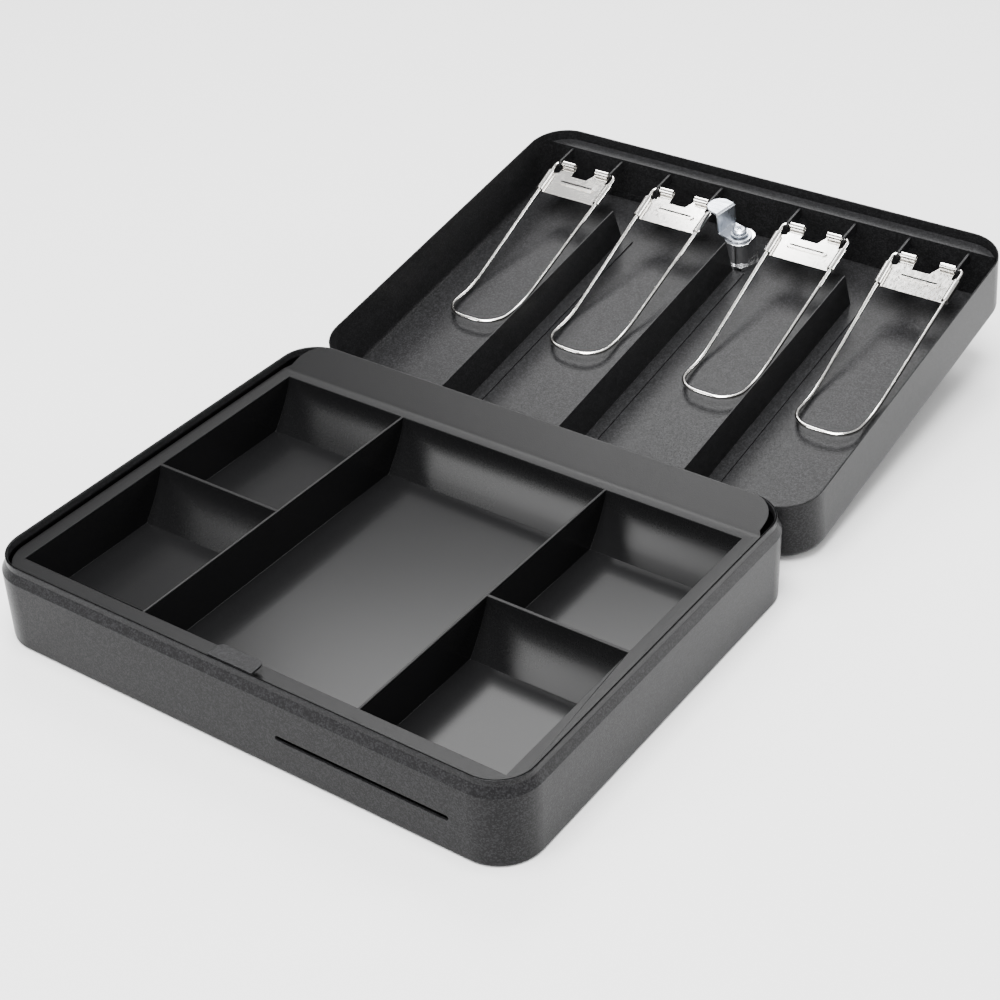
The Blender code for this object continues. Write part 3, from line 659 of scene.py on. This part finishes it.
def makeRivetTree():
    tree = bpy.data.node_groups.new("rivetRow", "GeometryNodeTree")
    tree.interface.new_socket("Geometry", in_out="INPUT", socket_type="NodeSocketGeometry")
    for label in ("Head Radius", "Dome Height", "Shank Radius", "Tail Radius", "Tail Height", "Grip"):
        tree.interface.new_socket(label, in_out="INPUT", socket_type="NodeSocketFloat")
    tree.interface.new_socket("Finish", in_out="INPUT", socket_type="NodeSocketMaterial")
    tree.interface.new_socket("Geometry", in_out="OUTPUT", socket_type="NodeSocketGeometry")
    nodes, link = tree.nodes, tree.links.new
    start, end = nodes.new("NodeGroupInput"), nodes.new("NodeGroupOutput")

    def half(socket):
        node = nodes.new("ShaderNodeMath")
        node.operation = "MULTIPLY"
        node.inputs[1].default_value = 0.5
        link(socket, node.inputs[0])
        return node.outputs[0]

    def shift(geometry, height, sign, scale=None):
        combine = nodes.new("ShaderNodeCombineXYZ")
        flip = nodes.new("ShaderNodeMath")
        flip.operation = "MULTIPLY"
        flip.inputs[1].default_value = sign
        link(height, flip.inputs[0])
        link(flip.outputs[0], combine.inputs["Z"])
        move = nodes.new("GeometryNodeTransform")
        link(geometry, move.inputs["Geometry"])
        link(combine.outputs["Vector"], move.inputs["Translation"])
        if scale is not None:
            link(scale, move.inputs["Scale"])
        return move.outputs["Geometry"]

    head = nodes.new("GeometryNodeMeshUVSphere")
    head.inputs["Segments"].default_value = 32
    head.inputs["Rings"].default_value = 16
    link(start.outputs["Head Radius"], head.inputs["Radius"])
    flatten = nodes.new("ShaderNodeMath")
    flatten.operation = "DIVIDE"
    link(start.outputs["Dome Height"], flatten.inputs[0])
    link(start.outputs["Head Radius"], flatten.inputs[1])
    squashed = nodes.new("ShaderNodeCombineXYZ")
    squashed.inputs["X"].default_value = 1.0
    squashed.inputs["Y"].default_value = 1.0
    link(flatten.outputs[0], squashed.inputs["Z"])
    shank = nodes.new("GeometryNodeMeshCylinder")
    shank.inputs["Vertices"].default_value = 24
    link(start.outputs["Shank Radius"], shank.inputs["Radius"])
    link(start.outputs["Grip"], shank.inputs["Depth"])
    tail = nodes.new("GeometryNodeMeshCylinder")
    tail.inputs["Vertices"].default_value = 32
    link(start.outputs["Tail Radius"], tail.inputs["Radius"])
    link(start.outputs["Tail Height"], tail.inputs["Depth"])
    join = nodes.new("GeometryNodeJoinGeometry")
    link(shift(head.outputs["Mesh"], half(start.outputs["Grip"]), 1.0, squashed.outputs["Vector"]),
         join.inputs["Geometry"])
    link(shank.outputs["Mesh"], join.inputs["Geometry"])
    link(shift(tail.outputs["Mesh"], half(start.outputs["Grip"]), -1.0), join.inputs["Geometry"])
    spread = nodes.new("GeometryNodeInstanceOnPoints")
    link(start.outputs["Geometry"], spread.inputs["Points"])
    link(join.outputs["Geometry"], spread.inputs["Instance"])
    realize = nodes.new("GeometryNodeRealizeInstances")
    finish = nodes.new("GeometryNodeSetMaterial")
    link(spread.outputs["Instances"], realize.inputs["Geometry"])
    link(realize.outputs["Geometry"], finish.inputs["Geometry"])
    link(start.outputs["Finish"], finish.inputs["Material"])
    link(finish.outputs["Geometry"], end.inputs["Geometry"])
    return tree


def runTree(tree, points, edges, values):
    # a tree run on points, its result taken as a plain mesh
    mesh = bpy.data.meshes.new("treeInput")
    mesh.from_pydata(points, edges, [])
    helper = bpy.data.objects.new("treeInput", mesh)
    bpy.context.scene.collection.objects.link(helper)
    step = helper.modifiers.new("tree", "NODES")
    step.node_group = tree
    for item in tree.interface.items_tree:
        if item.item_type == "SOCKET" and item.in_out == "INPUT" and item.name in values:
            step[item.identifier] = values[item.name]
    bpy.context.view_layer.update()
    view = bpy.context.evaluated_depsgraph_get()
    result = bpy.data.meshes.new_from_object(helper.evaluated_get(view))
    bpy.data.objects.remove(helper, do_unlink=True)
    return result


rivetTree = makeRivetTree()


def makeRivets(body, stem, grip, turn):
    # each row's places are the middles of its parts
    names = [name for name in frame["nodes"] if name.startswith(stem)]
    points = []
    for name in names:
        low, high = (Vector(corner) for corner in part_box(name))
        points.append(turn.inverted() @ ((low + high) / 2))
    mesh = runTree(rivetTree, points, [], {
        "Head Radius": rivetValues["head"], "Dome Height": rivetValues["dome"],
        "Shank Radius": rivetValues["shank"], "Tail Radius": rivetValues["tail"],
        "Tail Height": rivetValues["tailHeight"], "Grip": grip, "Finish": zincPlate})
    mesh.transform(turn)
    finishPiece(stem + "Row", closeSeams(mesh), zincPlate, body, "zinc", *names)


outwardTurn = Matrix.Rotation(-pi / 2, 4, "X")
makeRivets("case", "base_rivet", rivetValues["caseGrip"], outwardTurn)
makeRivets("lid", "lid_rivet", rivetValues["lidGrip"], Matrix.Rotation(openAngle, 4, "X") @ outwardTurn)
print("rivets made")


# note clips: wire swept along its route by a tree, and the pressed plate
clipValues = {
    "wire": 0.0011, "legHalf": 0.0205, "legHalfEnd": 0.0180, "legLength": 0.1050, "loop": 0.0280,
    "bend": 21.6, "bendEase": 0.004, "elbow": 2.2, "loopShare": 0.78, "pinReach": 0.0080, "sides": 20,
    "slope": 12.93, "easing": 4,
}


def makeWireTree():
    tree = bpy.data.node_groups.new("bentWire", "GeometryNodeTree")
    tree.interface.new_socket("Geometry", in_out="INPUT", socket_type="NodeSocketGeometry")
    tree.interface.new_socket("Wire Radius", in_out="INPUT", socket_type="NodeSocketFloat")
    tree.interface.new_socket("Sides", in_out="INPUT", socket_type="NodeSocketInt")
    tree.interface.new_socket("Finish", in_out="INPUT", socket_type="NodeSocketMaterial")
    tree.interface.new_socket("Geometry", in_out="OUTPUT", socket_type="NodeSocketGeometry")
    nodes, link = tree.nodes, tree.links.new
    start, end = nodes.new("NodeGroupInput"), nodes.new("NodeGroupOutput")
    route = nodes.new("GeometryNodeMeshToCurve")
    circle = nodes.new("GeometryNodeCurvePrimitiveCircle")
    sweep = nodes.new("GeometryNodeCurveToMesh")
    sweep.inputs["Fill Caps"].default_value = True
    realize = nodes.new("GeometryNodeRealizeInstances")
    finish = nodes.new("GeometryNodeSetMaterial")
    link(start.outputs["Geometry"], route.inputs["Mesh"])
    link(start.outputs["Wire Radius"], circle.inputs["Radius"])
    link(start.outputs["Sides"], circle.inputs["Resolution"])
    link(route.outputs["Curve"], sweep.inputs["Curve"])
    link(circle.outputs["Curve"], sweep.inputs["Profile Curve"])
    link(sweep.outputs["Mesh"], realize.inputs["Geometry"])
    link(realize.outputs["Geometry"], finish.inputs["Geometry"])
    link(start.outputs["Finish"], finish.inputs["Material"])
    link(finish.outputs["Geometry"], end.inputs["Geometry"])
    return tree


wireTree = makeWireTree()


def wireRoute(values):
    # half of the wire's middle line, then its mirror image, then a light easing of the whole
    bend = values["elbow"] * values["wire"]
    half, halfEnd, length = values["legHalf"], values["legHalfEnd"], values["legLength"]
    flat = [(values["pinReach"], 0.0), (half - bend, 0.0)]
    quarter = [pi / 2 * i / 10 for i in range(1, 11)]
    flat += [(half - bend + bend * sin(a), bend - bend * cos(a)) for a in quarter]
    flat += [(half + (halfEnd - half) * t, length * t) for t in (i / 24 for i in range(2, 25))]
    turn = halfEnd * values["loopShare"]
    flat += [(halfEnd, length + (values["loop"] - turn) * t) for t in (0.3, 0.65)]
    centre = (halfEnd - turn, length + values["loop"] - turn)
    quarter = [pi / 2 * i / 16 for i in range(17)]
    flat += [(centre[0] + turn * cos(a), centre[1] + turn * sin(a)) for a in quarter]
    rise, ease = radians(values["bend"]), values["bendEase"]
    route = []
    for x, y in flat:
        past = y - length
        soft = max(0.0, past) if abs(past) > ease else (past + ease) ** 2 / (4 * ease)
        route.append(Vector((x, y - soft * (1 - cos(rise)), -soft * sin(rise))))
    route += [Vector((-p.x, p.y, p.z)) for p in reversed(route[:-1])]
    for easing in range(values["easing"]):
        eased = [(a + 2 * b + c) / 4 for a, b, c in zip(route, route[1:], route[2:])]
        route = [route[0]] + eased + [route[-1]]
    return route


def clipMatrix(index):
    # a clip's own axes: the pin at its joint, the legs along Y, the lid's floor towards Z
    place = Vector(joints[f"clip_{index}_lift"]["pos_m"])
    return Matrix.Translation(place) @ Matrix.Rotation(openAngle + radians(clipValues["slope"]), 4, "X")


plateValues = {
    "barLength": 0.0250, "barWidth": 0.0034, "barRise": 0.00085, "slitLength": 0.0215, "slitWidth": 0.0011,
    "barPlace": 0.0122, "sheetLow": 0.0015, "sheetHigh": 0.0021, "edge": 0.00014,
}


def embossPlate(index, values):
    # a raised long bar with a slit through it, pressed in the middle of the plate
    def press(mesh):
        own = clipMatrix(index)
        work = mesh.copy()
        work.materials.clear()
        work.transform(own.inverted())
        y, low, high = values["barPlace"], values["sheetLow"], values["sheetHigh"]
        half, rise = values["barWidth"] / 2, values["barRise"]
        x = values["barLength"] / 2
        bar = blockMesh((-x, x), (y - half, y + half), (low - rise, low + 0.0002), half * 0.98, 6, axis=2)
        work = cutMesh(work, [bar], "UNION")
        half, x = values["slitWidth"] / 2, values["slitLength"] / 2
        slit = blockMesh((-x, x), (y - half, y + half), (low - 0.001, high + 0.001), half * 0.96, 4, axis=2)
        work = cutMesh(work, [slit])
        work.transform(own)
        return work
    return press


for index in range(1, 5):
    route = wireRoute(clipValues)
    mesh = runTree(wireTree, route, [(i, i + 1) for i in range(len(route) - 1)],
                   {"Wire Radius": clipValues["wire"], "Sides": clipValues["sides"], "Finish": nickelPlate})
    mesh.transform(clipMatrix(index))
    finishPiece(f"clipWire{index}", closeSeams(mesh), nickelPlate, f"clip_{index}", "nickel",
                f"clip_wire_{index}")
    softenNode(f"clip_plate_{index}", nickelPlate, "nickel", plateValues["edge"], 2,
               embossPlate(index, plateValues))
print("clips made")


lockValues = {
    "length": 0.0170, "camSheet": 0.0012, "camWidth": 0.0140, "camReach": 0.0222, "camRest": 195.0,
    "gap": 0.0003, "tail": 0.0030, "tab": 0.0027, "bend": 0.0110, "foldRound": 0.0011, "camEdge": 0.00018,
    "spare": 0.0080,
    "smallParts": (
        ("lock_barrel", chromePlate, "chrome", 0.00020), ("lock_nut", chromePlate, "chrome", 0.00025),
        ("lock_plug", chromePlate, "chrome", 0.00015), ("cam_washer", zincPlate, "zinc", 0.00012),
        ("cam_screw", zincPlate, "zinc", 0.00015)),
}


def lockMatrix():
    # the lock's own axes, with its middle line along Z and turned with the cam, and the rim's height
    rim = caseValues["wall"] + lidValues["seam"]
    place = Vector((0.0, front + lidValues["lockY"], 0.0))
    rest = Matrix.Rotation(radians(lockValues["camRest"]), 4, "Z")
    return openLid @ Matrix.Translation(place) @ rest, rim


def makeCam(values):
    # a strip bent twice, with round ends and a square hole on the plug's tail
    own, rim = lockMatrix()
    floor = rim + lidValues["height"] - lidValues["sheet"]
    sheet, half, tail = values["camSheet"], values["camWidth"] / 2, values["tail"]
    high = floor - values["length"] - values["gap"] - sheet / 2
    tab = rim + values["tab"] + sheet / 2
    upright = values["bend"] - sheet / 2
    path = [(-tail - values["spare"], high), (upright, high), (upright, tab),
            (values["camReach"] + 0.001, tab)]
    strip = extrudeOutline(stripOutline(path, sheet, values["foldRound"]), -half, half, "Y")
    ends = arcPoints((values["camReach"] - half, 0.0), half, -90, 90, 24)
    ends += arcPoints((0.0, 0.0), half, 90, 270, 24)
    strip = cutMesh(strip, [extrudeOutline(ends, rim - 0.01, floor)], "INTERSECT")
    room = tail + values["gap"]
    through = (high - cutting["past"], high + cutting["past"])
    strip = cutMesh(strip, [blockMesh((-room, room), (-room, room), through)])
    strip = softenMesh(strip, values["camEdge"], 2, 40.0)
    strip.transform(own)
    finishPiece("lockCam", strip, zincPlate, "lock_core", "zinc", "lock_cam", sharp=None)


makeCam(lockValues)
for name, finish, slotName, width in lockValues["smallParts"]:
    softenNode(name, finish, slotName, width)
print("lock made")


studioValues = {
    "floor": 3.0, "floorHeight": -0.0002, "floorColour": (0.66, 0.66, 0.66), "floorRoughness": 0.9,
    "world": 0.60, "aim": (0.0, 0.0, 0.03),
    "lights": {
        "keyRight": {"place": (1.6, 1.35, 0.55), "size": 0.9, "power": 42.0},
        "back": {"place": (-0.9, 1.3, 2.0), "size": 1.0, "power": 55.0},
        "overhead": {"place": (0.1, -0.5, 2.3), "size": 1.4, "power": 210.0},
        "frontHigh": {"place": (0.7, -1.7, 1.9), "size": 1.0, "power": 50.0},
        "frontLow": {"place": (-1.0, -1.9, 0.9), "size": 0.6, "power": 20.0},
    },
}


def makeStudio(values):
    shape = bmesh.new()
    bmesh.ops.create_grid(shape, x_segments=1, y_segments=1, size=values["floor"])
    mesh = meshOf(shape, "floor")
    floor = bpy.data.objects.new("floor", mesh)
    floor.location.z = values["floorHeight"]
    bpy.context.scene.collection.objects.link(floor)
    material = bpy.data.materials.new("paleFloor")
    material.use_nodes = True
    shader = material.node_tree.nodes["Principled BSDF"]
    shader.inputs["Base Color"].default_value = (*values["floorColour"], 1.0)
    shader.inputs["Roughness"].default_value = values["floorRoughness"]
    mesh.materials.append(material)
    world = bpy.data.worlds.new("studio")
    world.use_nodes = True
    sky = world.node_tree.nodes["Background"]
    sky.inputs["Color"].default_value = (1.0, 1.0, 1.0, 1.0)
    sky.inputs["Strength"].default_value = values["world"]
    bpy.context.scene.world = world
    for name, light in values["lights"].items():
        data = bpy.data.lights.new(name, "AREA")
        data.energy = light["power"]
        data.size = light["size"]
        lamp = bpy.data.objects.new(name, data)
        lamp.location = light["place"]
        aim = Vector(values["aim"]) - Vector(light["place"])
        lamp.rotation_euler = aim.to_track_quat("-Z", "Y").to_euler()
        bpy.context.scene.collection.objects.link(lamp)


makeStudio(studioValues)
print("studio made")
